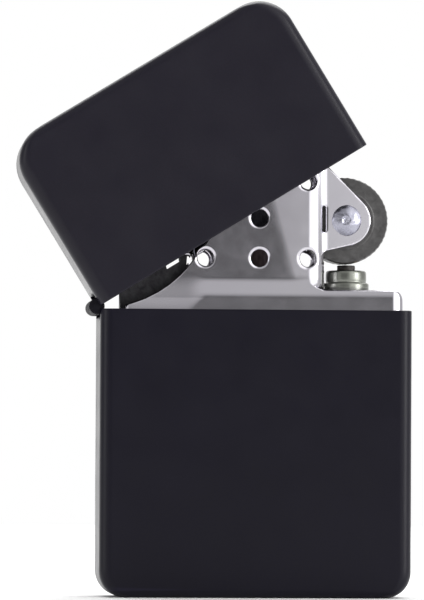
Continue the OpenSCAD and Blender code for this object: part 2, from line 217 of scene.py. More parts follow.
def loft(rings, cap_first=False, cap_last=False):
    """Faces between rings of equal length."""
    n = len(rings[0])
    points = [p for ring in rings for p in ring]
    faces = []
    for k in range(len(rings) - 1):
        for i in range(n):
            j = (i + 1) % n
            faces.append((k * n + i, k * n + j, (k + 1) * n + j, (k + 1) * n + i))
    if cap_first:
        faces.append(tuple(range(n - 1, -1, -1)))
    if cap_last:
        faces.append(tuple((len(rings) - 1) * n + i for i in range(n)))
    return points, faces


def shrink(ring, f):
    """The same ring drawn in towards its middle."""
    mid = np.mean(ring, axis=0)
    return [tuple(mid + (np.array(p) - mid) * np.array([f, f, 1])) for p in ring]


def corner_levels(r_small, r_big, count=14):
    small = [r_small * (1 - math.cos(math.radians(90 * k / 8))) for k in range(9)]
    big = [r_big * (1 - math.cos(math.radians(90 * k / count))) for k in range(count + 1)]
    levels = sorted(set(round(v, 4) for v in small + big + [r_big + 0.15]))
    return [v for n, v in enumerate(levels) if n == 0 or v - levels[n - 1] > 0.012]


def inset(r, level):
    return 0 if level >= r else r - math.sqrt(max(r * r - (r - level) ** 2, 0))


def sheet_box(height, corner_r):
    """A box of painted sheet that stands on z = 0 and is open above, with a softly rounded rim."""
    half_w, half_d = CASE_W / 2, CASE_D / 2
    rim = 0.14

    def level_ring(z, wall):
        corner, long_edge = corner_r - wall, LONG_EDGE_R - wall
        dx, dy = inset(corner, z - wall), inset(long_edge, z - wall)
        return ring_xy(-half_w + wall + dx, half_w - wall - dx, half_d - wall - dy, EDGE_R - wall, z)

    outer = [level_ring(z, 0) for z in corner_levels(LONG_EDGE_R, corner_r)]
    outer += [level_ring(z, 0) for z in np.linspace(corner_r + 1, height - rim - 0.1, 8)]
    outer += [level_ring(height - rim, 0)]
    lip = []
    for k in range(1, 5):
        a = math.radians(90 * k / 4)
        lip.append((rim * (1 - math.cos(a)), height - rim * (1 - math.sin(a))))
    lip += [(WALL - d, z) for d, z in reversed(lip)]
    rounded = [ring_xy(-half_w + d, half_w - d, half_d - d, EDGE_R - d, z) for d, z in lip]
    inner = [level_ring(height - rim, WALL)]
    inner += [level_ring(z, WALL) for z in np.linspace(height - rim - 0.1, corner_r + 1, 6)]
    floor_levels = corner_levels(LONG_EDGE_R - WALL, corner_r - WALL)
    inner += [level_ring(WALL + z, WALL) for z in reversed(floor_levels)]
    floor_out = [shrink(outer[0], f) for f in (0.02, 0.5, 0.93, 0.985)]
    floor_in = [shrink(inner[-1], f) for f in (0.985, 0.93, 0.5, 0.02)]
    return loft(floor_out + outer + rounded + inner + floor_in, True, True)


# ---- distance fields ----


def length2(a, b):
    return np.sqrt(a * a + b * b)


def soft_min(a, b, k):
    h = np.maximum(k - np.abs(a - b), 0) / k
    return np.minimum(a, b) - h * h * k / 4


def soft_max(a, b, k):
    return -soft_min(-a, -b, k)


def soft_rect(x, y, x0, x1, y0, y1, r):
    """Signed distance to a rectangle with round corners."""
    qx = np.abs(x - (x0 + x1) / 2) - ((x1 - x0) / 2 - r)
    qy = np.abs(y - (y0 + y1) / 2) - ((y1 - y0) / 2 - r)
    return length2(np.maximum(qx, 0), np.maximum(qy, 0)) + np.minimum(np.maximum(qx, qy), 0) - r


def plan_rect(x, y, x0, x1, half, r):
    """soft_rect about y = 0 whose half depth may change from point to point."""
    qx = np.abs(x - (x0 + x1) / 2) - ((x1 - x0) / 2 - r)
    qy = np.abs(y) - (half - r)
    return length2(np.maximum(qx, 0), np.maximum(qy, 0)) + np.minimum(np.maximum(qx, qy), 0) - r


def smooth_step(t):
    t = np.clip(t, 0, 1)
    return t * t * (3 - 2 * t)


def net(field, lo, hi, step):
    """Surface net of a field's zero level: points in millimetres and four-sided faces."""
    lo = np.asarray(lo, float)
    axes = [np.arange(lo[k], hi[k] + step, step) for k in range(3)]
    v = field(*np.meshgrid(*axes, indexing="ij", sparse=True))
    v = np.broadcast_to(v, tuple(len(a) for a in axes)).astype(np.float32)
    cells = np.array(v.shape) - 1
    total, count = np.zeros((*cells, 3), np.float32), np.zeros(cells, np.float32)
    crossings = []
    for a in range(3):
        b, c = (a + 1) % 3, (a + 2) % 3
        low, high = [slice(None)] * 3, [slice(None)] * 3
        low[a], high[a] = slice(0, -1), slice(1, None)
        v0, v1 = v[tuple(low)], v[tuple(high)]
        cross = (v0 < 0) != (v1 < 0)
        t = np.where(cross, v0 / np.where(cross, v0 - v1, 1), 0)
        crossings.append((cross, v0 < 0))
        for db in (0, 1):
            for dc in (0, 1):
                part = [slice(None)] * 3
                part[b], part[c] = slice(db, db + cells[b]), slice(dc, dc + cells[c])
                here = cross[tuple(part)]
                count += here
                total[..., a] += t[tuple(part)]
                total[..., b] += db * here
                total[..., c] += dc * here
    active = count > 0
    number = np.full(cells, -1, np.int64)
    number[active] = np.arange(int(active.sum()))
    points = (np.argwhere(active) + total[active] / count[active][:, None]) * step + lo
    faces = []
    for a, (cross, inside) in enumerate(crossings):
        b, c = (a + 1) % 3, (a + 2) % 3
        part = [slice(None)] * 3
        part[b], part[c] = slice(1, cells[b]), slice(1, cells[c])
        at = np.argwhere(cross[tuple(part)])
        keep = inside[tuple(part)][tuple(at.T)]
        at[:, b] += 1
        at[:, c] += 1
        corner = []
        for db, dc in ((1, 1), (0, 1), (0, 0), (1, 0)):
            q = at.copy()
            q[:, b] -= db
            q[:, c] -= dc
            corner.append(number[tuple(q.T)])
        quad = np.stack(corner, 1)
        quad[~keep] = quad[~keep][:, ::-1]
        faces.append(quad)
    return points, np.concatenate(faces)


def gradient(field, p, e=0.02):
    g = np.zeros_like(p)
    for k in range(3):
        step = np.zeros(3)
        step[k] = e
        g[:, k] = (field(*(p + step).T) - field(*(p - step).T)) / (2 * e)
    return g


def settle(field, p, reach, rounds=3):
    """Draws net points onto the true surface."""
    for _ in range(rounds):
        g = gradient(field, p)
        move = -(field(*p.T) / np.maximum((g * g).sum(1), 0.05))[:, None] * g
        size = np.linalg.norm(move, axis=1, keepdims=True)
        p = p + move * np.minimum(1, reach / np.maximum(size, 1e-9))
    return p


def field_piece(name, field, lo, hi, step, material, keep_ratio=1.0, exact_normals=True):
    """A piece whose surface is a field's zero level."""
    points, faces = net(field, lo, hi, step)
    points = settle(field, points, step * 0.35)
    obj = new_object(name, points, faces, material)
    if keep_ratio < 1:
        thin = obj.modifiers.new("thin", "DECIMATE")
        thin.ratio = keep_ratio
        apply_modifiers(obj)
        obj.data.shade_smooth()
    if exact_normals:
        p = np.empty(len(obj.data.vertices) * 3)
        obj.data.vertices.foreach_get("co", p)
        g = gradient(field, p.reshape(-1, 3) / MM, 0.035)
        g /= np.maximum(np.linalg.norm(g, axis=1, keepdims=True), 1e-9)
        obj.data.normals_split_custom_set_from_vertices(g.tolist())
    return obj


# ---- materials ----


def srgb(*levels):
    """A screen colour of 0 to 255 levels as a linear one."""
    share = [level / 255 for level in levels]
    return tuple(c / 12.92 if c <= 0.04045 else ((c + 0.055) / 1.055) ** 2.4 for c in share) + (1,)


def toned(colour, factor):
    """The same colour, darker or lighter."""
    return tuple(v * factor for v in colour[:3]) + (1,)


class Finish:
    """A material and short ways to add nodes to it."""

    def __init__(self, name, metal, rough):
        self.material = bpy.data.materials.new(name)
        self.material.use_nodes = True
        self.tree = self.material.node_tree
        self.shader = self.tree.nodes["Principled BSDF"]
        self.shader.inputs["Metallic"].default_value = metal
        self.shader.inputs["Roughness"].default_value = rough
        self.place = self.tree.nodes.new("ShaderNodeTexCoord").outputs["Object"]
        self.heights = []

    def link(self, a, b):
        self.tree.links.new(a, b)

    def stretched(self, scale):
        node = self.tree.nodes.new("ShaderNodeMapping")
        node.inputs["Scale"].default_value = scale
        self.link(self.place, node.inputs["Vector"])
        return node.outputs["Vector"]

    def noise(self, scale, detail=4, rough=0.55, stretch=None, warp=0):
        node = self.tree.nodes.new("ShaderNodeTexNoise")
        node.inputs["Scale"].default_value = scale
        node.inputs["Detail"].default_value = detail
        node.inputs["Roughness"].default_value = rough
        node.inputs["Distortion"].default_value = warp
        self.link(self.stretched(stretch) if stretch else self.place, node.inputs["Vector"])
        return node.outputs["Fac"]

    def cells(self, scale):
        node = self.tree.nodes.new("ShaderNodeTexVoronoi")
        node.inputs["Scale"].default_value = scale
        self.link(self.place, node.inputs["Vector"])
        return node.outputs["Distance"]

    def ramp(self, value, stops):
        node = self.tree.nodes.new("ShaderNodeValToRGB")
        ends = node.color_ramp.elements
        while len(ends) < len(stops):
            ends.new(0.5)
        for end, (at, colour) in zip(ends, stops):
            end.position = at
            end.color = colour
        self.link(value, node.inputs["Fac"])
        return node.outputs["Color"]

    def spread(self, value, low, high, start=0.3, stop=0.7):
        node = self.tree.nodes.new("ShaderNodeMapRange")
        for key, v in (("From Min", start), ("From Max", stop), ("To Min", low), ("To Max", high)):
            node.inputs[key].default_value = v
        self.link(value, node.inputs["Value"])
        return node.outputs["Result"]

    def blend(self, factor, a, b):
        node = self.tree.nodes.new("ShaderNodeMix")
        node.data_type = "RGBA"
        # its sockets by number: 0 is the factor, 6 and 7 the two colours, 2 the mixed colour
        for key, v in ((0, factor), (6, a), (7, b)):
            if isinstance(v, (int, float, tuple)):
                node.inputs[key].default_value = v
            else:
                self.link(v, node.inputs[key])
        return node.outputs[2]

    def edges(self, low, high):
        """From 0 in the flat to 1 on an outward edge."""
        node = self.tree.nodes.new("ShaderNodeNewGeometry")
        return self.spread(node.outputs["Pointiness"], 0, 1, low, high)

    def colour(self, value):
        self.link(value, self.shader.inputs["Base Color"])

    def rough(self, value):
        self.link(value, self.shader.inputs["Roughness"])

    def bump(self, height, strength, metres):
        node = self.tree.nodes.new("ShaderNodeBump")
        node.inputs["Strength"].default_value = strength
        node.inputs["Distance"].default_value = metres
        self.link(height, node.inputs["Height"])
        if self.heights:
            self.link(self.heights[-1], node.inputs["Normal"])
        self.heights.append(node.outputs["Normal"])
        self.link(node.outputs["Normal"], self.shader.inputs["Normal"])


def painted(name, low, high):
    """Matt black paint between two tones, with a painted highlight along its outward edges."""
    f = Finish(name, 0, 0.34)
    tone = f.noise(90, 3)
    grain = f.noise(5200, 3, 0.6)
    base = f.ramp(tone, [(0.3, low), (0.7, high)])
    speck = f.ramp(grain, [(0.45, toned(low, 0.75)), (0.72, toned(high, 1.3))])
    mixed = f.blend(0.35, base, speck)
    # outward edges are drawn lighter: a painted highlight along the rims, not a different paint
    f.colour(f.blend(f.edges(0.56, 0.66), mixed, toned(high, 1.5)))
    f.rough(f.spread(f.noise(260, 4), 0.29, 0.37))
    f.bump(grain, 0.08, 2.0e-5)
    f.bump(f.noise(1500, 2), 0.05, 4e-5)
    f.shader.inputs["Specular IOR Level"].default_value = 0.2
    return f.material


def steel(name, light, dark, rough_low, rough_high, brush=0.05, stretch=(0.04, 1, 1), smudge=70):
    f = Finish(name, 1, 0.3)
    lines = f.noise(7000, 3, 0.6, stretch)
    smear = f.noise(smudge, 5, 0.6, None, 0.6)
    tone = f.ramp(smear, [(0.3, dark), (0.68, light)])
    f.colour(f.blend(0.18, tone, f.ramp(lines, [(0.3, dark), (0.7, light)])))
    wear = f.noise(420, 5, 0.62)
    f.rough(f.spread(wear, rough_low, rough_high))
    f.bump(lines, brush, 1.2e-5)
    f.bump(f.noise(900, 3), brush * 0.7, 2.5e-5)
    return f.material


def pitted(name, light, dark, metal, rough, size, strength, depth, gloss=0.5):
    """Cast or cut surfaces: mottled, with small pits."""
    f = Finish(name, metal, rough)
    pits = f.cells(size)
    mott = f.noise(size * 0.5, 5, 0.65, None, 0.4)
    f.colour(f.ramp(mott, [(0.32, dark), (0.68, light)]))
    f.rough(f.spread(mott, rough - 0.08, rough + 0.1))
    f.bump(pits, strength, depth)
    f.bump(f.noise(size * 2.4, 4), strength * 0.6, depth * 0.6)
    f.shader.inputs["Specular IOR Level"].default_value = gloss
    return f.material


def fibres(name, light, dark, size, strength, depth, stretch=None, char_mm=None):
    """Fibrous surfaces; charred above a height if one is given."""
    f = Finish(name, 0, 0.95)
    strands = f.noise(size, 6, 0.7, stretch, 1.2)
    stain = f.noise(size * 0.08, 3)
    thread = f.ramp(strands, [(0.3, dark), (0.66, light)])
    tone = f.blend(0.4, thread, f.ramp(stain, [(0.35, dark), (0.65, light)]))
    if char_mm:
        axes = f.tree.nodes.new("ShaderNodeSeparateXYZ")
        f.link(f.place, axes.inputs["Vector"])
        burnt = f.spread(axes.outputs["Z"], 0, 1, (char_mm - 1) * MM, (char_mm + 1) * MM)
        soot = f.ramp(strands, [(0.3, srgb(52, 50, 58)), (0.7, srgb(92, 90, 100))])
        tone = f.blend(burnt, tone, soot)
    f.colour(tone)
    f.bump(strands, strength, depth)
    f.bump(f.noise(size * 3, 4, 0.7), strength * 0.6, depth * 0.4)
    f.shader.inputs["Sheen Weight"].default_value = 0.25
    f.shader.inputs["Specular IOR Level"].default_value = 0.2
    return f.material


CASE_PAINT = painted("case_paint", srgb(13, 11, 23), srgb(16, 14, 27))
# the lid's paint is the case's paint drawn lighter: painted light, standing in for the lid being more
# brightly lit
LID_PAINT = painted("lid_paint", srgb(27, 25, 34), srgb(30, 28, 37))
HINGE_BLACK = pitted("hinge_black", srgb(24, 23, 29), srgb(13, 12, 17), 0, 0.6, 2600, 0.12, 2e-5, 0.1)
SCREEN_STEEL = steel("bright_steel", srgb(212, 210, 216), srgb(203, 200, 208), 0.1, 0.17, 0.02,
                     (0.04, 1, 1), 30)
TANK_STEEL = steel("tank_steel", srgb(205, 205, 206), srgb(172, 171, 173), 0.22, 0.36, 0.09, (1, 1, 0.05))
WHEEL_STEEL = pitted("wheel_steel", srgb(95, 94, 94), srgb(75, 74, 74), 0.75, 0.46, 3200, 0.14, 2e-5)
RIVET_STEEL = pitted("rivet_steel", srgb(176, 176, 188), srgb(150, 150, 164), 1, 0.27, 2600, 0.12, 2.5e-5)
BRASS = steel("brass", srgb(214, 178, 106), srgb(170, 132, 70), 0.22, 0.36, 0.08)
NICKEL = steel("nickel", srgb(150, 152, 145), srgb(108, 110, 103), 0.24, 0.38, 0.07, (1, 1, 0.05))
FLINT = pitted("flint", srgb(92, 88, 86), srgb(34, 32, 33), 0.35, 0.62, 1500, 0.5, 1e-4)
SPRING_STEEL = steel("spring_steel", srgb(186, 188, 192), srgb(140, 142, 147), 0.24, 0.36, 0.05)
CAM_STEEL = pitted("cam_steel", srgb(80, 79, 82), srgb(44, 43, 47), 0.8, 0.44, 2400, 0.16, 3e-5)
WICK_COTTON = fibres("wick_cotton", srgb(116, 100, 104), srgb(66, 50, 53), 2600, 0.6, 1.5e-4, None, 43.8)
COPPER = steel("copper", srgb(205, 132, 92), srgb(142, 78, 50), 0.28, 0.42, 0.06)
PACKING_COTTON = fibres("packing_cotton", srgb(244, 241, 234), srgb(208, 203, 192), 1400, 0.8, 3e-4)
FELT = fibres("felt", srgb(216, 210, 196), srgb(168, 160, 142), 2200, 0.7, 2e-4)


# ---- case and lid ----


def lid_turn():
    """From the closed lid to where it stands at rest."""
    axis = Matrix.Translation(Vector(HINGE * MM))
    return axis @ Matrix.Rotation(-LID_OPEN, 4, "Y") @ axis.inverted()


def make_case():
    obj = new_object("case", *sheet_box(CASE_H, CASE_CORNER_R), CASE_PAINT)
    notch_lo = (case_lo[0] - 1, -NOTCH_HALF, CASE_NOTCH_Z)
    cut_box(obj, notch_lo, (case_lo[0] + WALL + 0.2, NOTCH_HALF, CASE_H + 1))
    tidy_mesh(obj)
    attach(obj, "case")
    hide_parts("case_shell")


def make_lid():
    points, faces = sheet_box(LID_H, LID_CORNER_R)
    points = np.array(points)
    points[:, 2] = LID_Z + LID_H - points[:, 2]
    obj = new_object("lid", points, [f[::-1] for f in faces], LID_PAINT)
    cut_box(obj, (case_lo[0] - 1, -NOTCH_HALF, LID_Z - 1), (case_lo[0] + WALL + 0.2, NOTCH_HALF, LID_NOTCH_Z))
    tidy_mesh(obj)
    obj.data.transform(lid_turn())
    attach(obj, "lid")
    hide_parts("lid_shell")


def crisp(obj, degrees=35):
    """Sharp folds stay sharp, the rest shades smoothly."""
    obj.data.set_sharp_from_angle(angle=math.radians(degrees))
    weighted = obj.modifiers.new("weighted", "WEIGHTED_NORMAL")
    weighted.keep_sharp = True


# ---- windscreen ----

EAR_LOW = np.array([math.sin(math.radians(13.5)), -math.cos(math.radians(13.5))])
EAR_HIGH = np.array([math.sqrt(0.5), math.sqrt(0.5)])


def half_depth(x, z):
    """Half the pressed top's depth: the tank's below, S-curve, the chimney's above.

    The chimney's faces fall back a little to the right of a slanting crease.
    """
    crease = CREASE_X + CREASE_SLANT * (CREASE_Z - z)
    fall = FACE_FALL * soft_max(x - crease, 0, 0.7) * smooth_step((z - SHOULDER_Z1 + 1.2) / 1.6)
    # at the left the S-curve starts lower and ends higher
    left = 1 - smooth_step((x + 8.8) / 2.8)
    start, stop = SHOULDER_Z0 - 2 * left, SHOULDER_Z1 + 0.8 * left
    rise = smooth_step((z - start) / (stop - start))
    lean = 0.09 * np.clip(z - CASE_H, 0, 1.4)
    return HALF_CH - fall + (HALF_IN - lean - HALF_CH) * (1 - rise)


def ear_shape(x, z):
    """Side view of a wheel ear: a round tip and two straight edges back to the chimney."""
    px, pz = x - WHEEL[0], z - WHEEL[2]
    low = EAR_LOW[0] * px + EAR_LOW[1] * pz
    high = EAR_HIGH[0] * px + EAR_HIGH[1] * pz
    at_tip = (EAR_LOW[0] * pz - EAR_LOW[1] * px >= 0) & (px * EAR_HIGH[1] - pz * EAR_HIGH[0] >= 0)
    return np.where(at_tip, length2(px, pz), np.maximum(low, high)) - EAR_TIP_R


def windscreen_field(x, y, z):
    depth = half_depth(x, z)
    side = np.abs(y)
    sweep = SWEEP_R - length2(x - SWEEP_X, z - SWEEP_Z)
    plan = plan_rect(x, y, INSERT_X0, INSERT_X1, depth, EDGE_R)
    chimney = plan_rect(x, y, CHIMNEY_X0, CHIMNEY_X1, depth, CHIMNEY_R)
    deck_top = soft_rect(x, z, INSERT_X0 - 9, INSERT_X1, SEAM_Z - 9, DECK_Z, 1.4)
    deck = soft_max(plan, deck_top, 0.35)
    cheeks = soft_max(np.maximum(plan, x + 5), z - CHEEK_Z, 0.2)
    low = soft_max(np.minimum(deck, cheeks), sweep, 0.2)
    # the plan cuts the joining curve off, so that the shared front and back stay flat
    body = np.maximum(soft_min(low, np.maximum(chimney, SHOULDER_Z0 - 0.5 - z), 0.9), plan)
    trough = np.maximum(np.maximum(side - (depth - SHEET), x - CHIMNEY_X0), TROUGH_Z - z)
    room_plan = plan_rect(x, y, CHIMNEY_X0 + SHEET, INSERT_X1 - SHEET, depth - SHEET, 1.0)
    room_top = soft_rect(x, z, -30, INSERT_X1 - SHEET, SEAM_Z - 9, DECK_Z - SHEET, 0.9)
    room = np.maximum(room_plan, room_top)
    flue = plan_rect(x, y, CHIMNEY_X0 + SHEET, CHIMNEY_X1 - SHEET, depth - SHEET, CHIMNEY_R - SHEET)
    flue = np.maximum(flue, DECK_Z - z)
    sheet = soft_max(body, -np.minimum(np.minimum(trough, room), flue), 0.16)
    sheet = soft_max(sheet, z - CHIMNEY_Z, 0.16)
    lean = EAR_LEAN * (x - WHEEL[0] - 0.2)
    ear = soft_max(np.abs(side + lean - (EAR_Y + SHEET / 2)) - SHEET / 2, ear_shape(x, z), 0.14)
    ear = np.maximum(ear, CHIMNEY_X1 - 0.35 - x)
    sheet = soft_min(sheet, np.maximum(ear, z - CHIMNEY_Z), 0.55)
    window = np.maximum(np.maximum(side + lean - EAR_Y, CHIMNEY_X1 - 1 - x), EAR_GAP_Z - z)
    sheet = soft_max(sheet, -window, 0.12)
    # the cam's ears, on the chimney's left wall
    arm = np.clip(x, CAM[0], CHIMNEY_X0 + 0.3)
    cam_ear = length2(x - arm, z - CAM[2]) - CAM_EAR_R
    cam_ear = soft_max(cam_ear, np.abs(side - (CAM_EAR_Y + SHEET / 2)) - SHEET / 2, 0.14)
    sheet = soft_min(sheet, cam_ear, 0.35)
    # holes: the sheet's edge rolls inwards round each
    for c, cx in enumerate(HOLE_COLS):
        for r, cz in enumerate(HOLE_ROWS):
            if c == 1 or r != 1:
                hole = length2(x - cx, z - cz) - HOLE_R
                sheet = soft_max(sheet, -np.maximum(hole + 0.1, 3.4 - side), 0.5)
    slit = soft_rect(x, z, SLIT_X0, SLIT_X1, HOLE_ROWS[1] - SLIT_HALF, HOLE_ROWS[1] + SLIT_HALF, SLIT_R)
    sheet = soft_max(sheet, -np.maximum(slit, 2.4 - side), 0.25)
    sheet = soft_max(sheet, -(length2(x - WHEEL[0], z - WHEEL[2]) - AXLE_R), 0.1)
    cam_bore = np.maximum(length2(x - CAM[0], z - CAM[2]) - CAM_AXLE_R, side - 3)
    sheet = soft_max(sheet, -cam_bore, 0.1)
    # upright bores for the wick, the flint tube and the cam spring's rivet
    bores = ((WICK_X, WICK_R + 0.1, 36, 38.5), (TUBE_X, TUBE_R, 36, 38.5),
             (CAM_SPRING_RIVET_X, CAM_SPRING_RIVET_R, 33, 35))
    for hx, hr, z0, z1 in bores:
        bore = np.maximum(length2(x - hx, y) - hr, np.abs(z - (z0 + z1) / 2) - (z1 - z0) / 2)
        sheet = soft_max(sheet, -bore, 0.12)
    return np.maximum(sheet, SEAM_Z - z)


def make_windscreen():
    step = 0.16
    lo = (INSERT_X0 - 0.4, -HALF_IN - 0.4, SEAM_Z - 0.4)
    hi = (INSERT_X1 + 0.4, HALF_IN + 0.4, CHIMNEY_Z + 0.4)
    obj = field_piece("windscreen_pressing", windscreen_field, lo, hi, step, SCREEN_STEEL, 0.36)
    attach(obj, "case")
    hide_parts("windscreen")


# ---- turned pieces ----


def lathe(name, profile, centre, axis, material, steps=72, closed=False, wobble=None):
    """Turns a profile of (radius, along) points about an axis through centre."""
    points, faces = [], []
    n = len(profile)
    for k in range(steps):
        a = TURN * k / steps
        for i, (r, h) in enumerate(profile):
            if wobble:
                r, h = wobble(r, h, a)
            u, v = r * math.cos(a), r * math.sin(a)
            local = {"x": (h, u, v), "y": (v, h, u), "z": (u, v, h)}[axis]
            points.append(np.array(centre) + local)
    for k in range(steps):
        m = (k + 1) % steps
        for i in range(n if closed else n - 1):
            j = (i + 1) % n
            faces.append((k * n + i, m * n + i, m * n + j, k * n + j))
    obj = new_object(name, points, faces, material)
    tidy_mesh(obj, 2e-6)
    return obj


def rivet_profile(shank_r, seat, head_r, head_h, dimple_r, dimple_h):
    """Outline of a rivet with two domed heads: one half, and the same half mirrored."""
    half = [(shank_r, 0), (shank_r, seat - 0.02), (shank_r + 0.05, seat), (head_r - 0.1, seat)]
    dome_r = (head_r ** 2 + head_h ** 2) / 2 / head_h
    for k in range(11):
        r = head_r * (1 - k / 10 * (1 - dimple_r / head_r))
        half.append((max(r, 0), seat + math.sqrt(max(dome_r ** 2 - r ** 2, 0)) - dome_r + head_h))
    if dimple_r:
        top = half[-1][1]
        half += [(dimple_r * 0.8, top - dimple_h * 0.7), (dimple_r * 0.4, top - dimple_h)]
        half += [(0, top - dimple_h)]
    return [(r, -h) for r, h in reversed(half)] + half[1:]


def make_rivets():
    rng = np.random.RandomState(7)
    phases = rng.uniform(0, TURN, 6)

    def peened(r, h, a):
        side = 1 if h > 0 else -1
        if abs(h) < EAR_Y + SHEET + 0.05 or r < 0.05:
            return r, h
        dent = sum(math.sin((3 + 2 * k) * a + phases[k] + 5.3 * r) for k in range(5)) / 5
        return r * (1 + 0.012 * dent), h - side * (0.035 + 0.035 * dent)

    profile = rivet_profile(AXLE_R, EAR_Y + SHEET, 1.9, 0.75, 0.5, 0.18)
    wheel = lathe("wheel_rivet_peened", profile, (WHEEL[0], 0, WHEEL[2]), "y", RIVET_STEEL, 96, False, peened)
    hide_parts("wheel_rivet")
    profile = rivet_profile(CAM_AXLE_R, CAM_EAR_Y + SHEET, 1.25, 0.5, 0, 0)
    cam = lathe("cam_rivet_domed", profile, (CAM[0], 0, CAM[2]), "y", RIVET_STEEL, 64)
    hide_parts("cam_rivet")
    for obj in (wheel, cam):
        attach(obj, "case")


def make_collar():
    z0, z1 = DECK_Z, collar_hi[2]
    profile = [(TUBE_R, z0), (2.73, z0), (2.8, z0 + 0.08), (2.8, z0 + 0.78),
               (2.75, z0 + 0.9), (2.62, z0 + 0.98),
               (2.5, z0 + 1.02), (2.46, z0 + 1.1), (2.49, z0 + 1.2), (2.5, z0 + 1.4), (2.49, z1 - 0.4),
               (2.44, z1 - 0.16), (2.32, z1 - 0.04), (2.1, z1), (1.95, z1 - 0.02), (TUBE_R, z1 - 0.1)]
    obj = lathe("tube_collar_turned", profile, (TUBE_X, 0, 0), "z", NICKEL, 80, True)
    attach(obj, "case")
    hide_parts("tube_collar")


def make_flint():
    rng = np.random.RandomState(11)
    z0, z1 = flint_lo[2], flint_hi[2]
    heights = list(np.linspace(z0 + 0.1, z1 - 0.12, 26))
    profile = [(0, z0), (0.6, z0), (1.0, z0)] + [(1.13, h) for h in heights]
    profile += [(1.04, z1 - 0.03), (0.6, z1), (0, z1)]
    chips = rng.uniform(-1, 1, (len(profile) + 2, 40))
    index = {h: n for n, (_, h) in enumerate(profile)}

    def rough(r, h, a):
        if r < 1:
            return r, h
        k = int(round(a / TURN * 40)) % 40
        return r - 0.035 - 0.03 * chips[index[h], k], h

    obj = lathe("flint_rod", profile, (TUBE_X, 0, 0), "z", FLINT, 40, False, rough)
    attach(obj, "flint")
    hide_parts("flint")


def make_wheel():
    """Rim with cut teeth crossed by fine slanted grooves, a plain hub that stands a little proud."""
    around, across = WHEEL_TEETH * 12, 13
    rim_half, hub_half, hub_r, bore_r = 2.1, 2.4, 3.6, AXLE_R + 0.05
    points, faces = [], []
    stations = np.linspace(-rim_half, rim_half, across)
    for k in range(around):
        a = TURN * k / around
        row = [(bore_r, -hub_half + 0.06), (bore_r + 0.06, -hub_half), (hub_r - 0.15, -hub_half),
               (hub_r, -hub_half + 0.1), (hub_r + 0.02, -rim_half - 0.02), (hub_r + 0.12, -rim_half),
               (WHEEL_R - 0.62, -rim_half)]
        for y in stations:
            slant = 0.9 * abs(((a * WHEEL_TEETH / TURN + 0.55 * y) % 1) - 0.5)
            other = 0.9 * abs(((a * WHEEL_TEETH / TURN - 0.55 * y) % 1) - 0.5)
            bite = 0.12 * max(slant, other) + 0.005
            edge = 0.12 if abs(y) > rim_half - 0.2 else 0
            row.append((WHEEL_R - bite - edge, y))
        row += [(r, -y) for r, y in reversed(row[:7])]
        for r, y in row:
            points.append((WHEEL[0] + r * math.cos(a), y, WHEEL[2] + r * math.sin(a)))
    n = len(row)
    for k in range(around):
        m = (k + 1) % around
        for i in range(n):
            j = (i + 1) % n
            faces.append((k * n + i, k * n + j, m * n + j, m * n + i))
    obj = new_object("flint_wheel_cut", points, faces, WHEEL_STEEL)
    tidy_mesh(obj, 1e-7)
    crisp(obj, 28)
    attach(obj, "wheel")
    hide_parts("flint_wheel")


def make_wick():
    """Braid of eight strands each way round the wire, fuzzy all over and drawn in at the tip."""
    rng = np.random.RandomState(3)
    z0, z1 = wick_lo[2], wick_hi[2]
    around, rings = 64, 170
    points, faces = [], []
    fray = rng.uniform(0, 1, (rings, around))
    for k in range(rings):
        t = k / (rings - 1)
        z = z0 + (z1 - z0) * t
        close = 1 - 0.35 * smooth_step((t - 0.985) / 0.015)
        for i in range(around):
            a = TURN * i / around
            one = abs(math.sin(4 * (a + 0.55 * z)))
            two = abs(math.sin(4 * (a - 0.55 * z)))
            r = WICK_R - 0.3 + 0.22 * max(one, two) + 0.05 * fray[k, i]
            points.append((WICK_X + r * close * math.cos(a), r * close * math.sin(a), z))
    for k in range(rings - 1):
        for i in range(around):
            j = (i + 1) % around
            faces.append((k * around + i, k * around + j, (k + 1) * around + j, (k + 1) * around + i))
    inner = len(points)
    for z in (z0, z1):
        for i in range(around):
            a = TURN * i / around
            points.append((WICK_X + 0.3 * math.cos(a), 0.3 * math.sin(a), z))
    last = (rings - 1) * around
    for i in range(around):
        j = (i + 1) % around
        faces.append((i, inner + i, inner + j, j))
        faces.append((last + i, last + j, inner + around + j, inner + around + i))
        faces.append((inner + i, inner + around + i, inner + around + j, inner + j))
    obj = new_object("wick_braid", points, faces, WICK_COTTON)
    tidy_mesh(obj)
    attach(obj, "case")
    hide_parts("wick")


def make_spring():
    """Coil of round wire with its end turns closed."""
    lo, hi = box_mm("flint_spring")
    wire, sides = 0.18, 10
    coil_r = (hi[0] - lo[0]) / 2 - wire
    z0, z1 = lo[2] + wire, hi[2] - wire
    turns, steps, closed = 19, 26, 1.5
    closed_pitch = 2.1 * wire
    free_pitch = (z1 - z0 - 2 * closed * closed_pitch) / (turns - 2 * closed)
    count = turns * steps
    points, faces = [], []
    for k in range(count + 1):
        t = k / steps
        if t < closed:
            z = z0 + t * closed_pitch
        elif t > turns - closed:
            z = z1 - (turns - t) * closed_pitch
        else:
            z = z0 + closed * closed_pitch + (t - closed) * free_pitch
        a = TURN * t
        out = np.array([math.cos(a), math.sin(a), 0])
        for s in range(sides):
            b = TURN * s / sides
            p = out * (coil_r + wire * math.cos(b)) + np.array([TUBE_X, 0, z + wire * math.sin(b)])
            points.append(p)
    for k in range(count):
        for s in range(sides):
            n = (s + 1) % sides
            faces.append((k * sides + s, (k + 1) * sides + s, (k + 1) * sides + n, k * sides + n))
    faces.append(tuple(range(sides)))
    faces.append(tuple(count * sides + s for s in reversed(range(sides))))
    obj = new_object("flint_spring_coil", points, faces, SPRING_STEEL)
    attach(obj, "case")
    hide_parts("flint_spring")
    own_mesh(obj)


# ---- cotton and felt ----


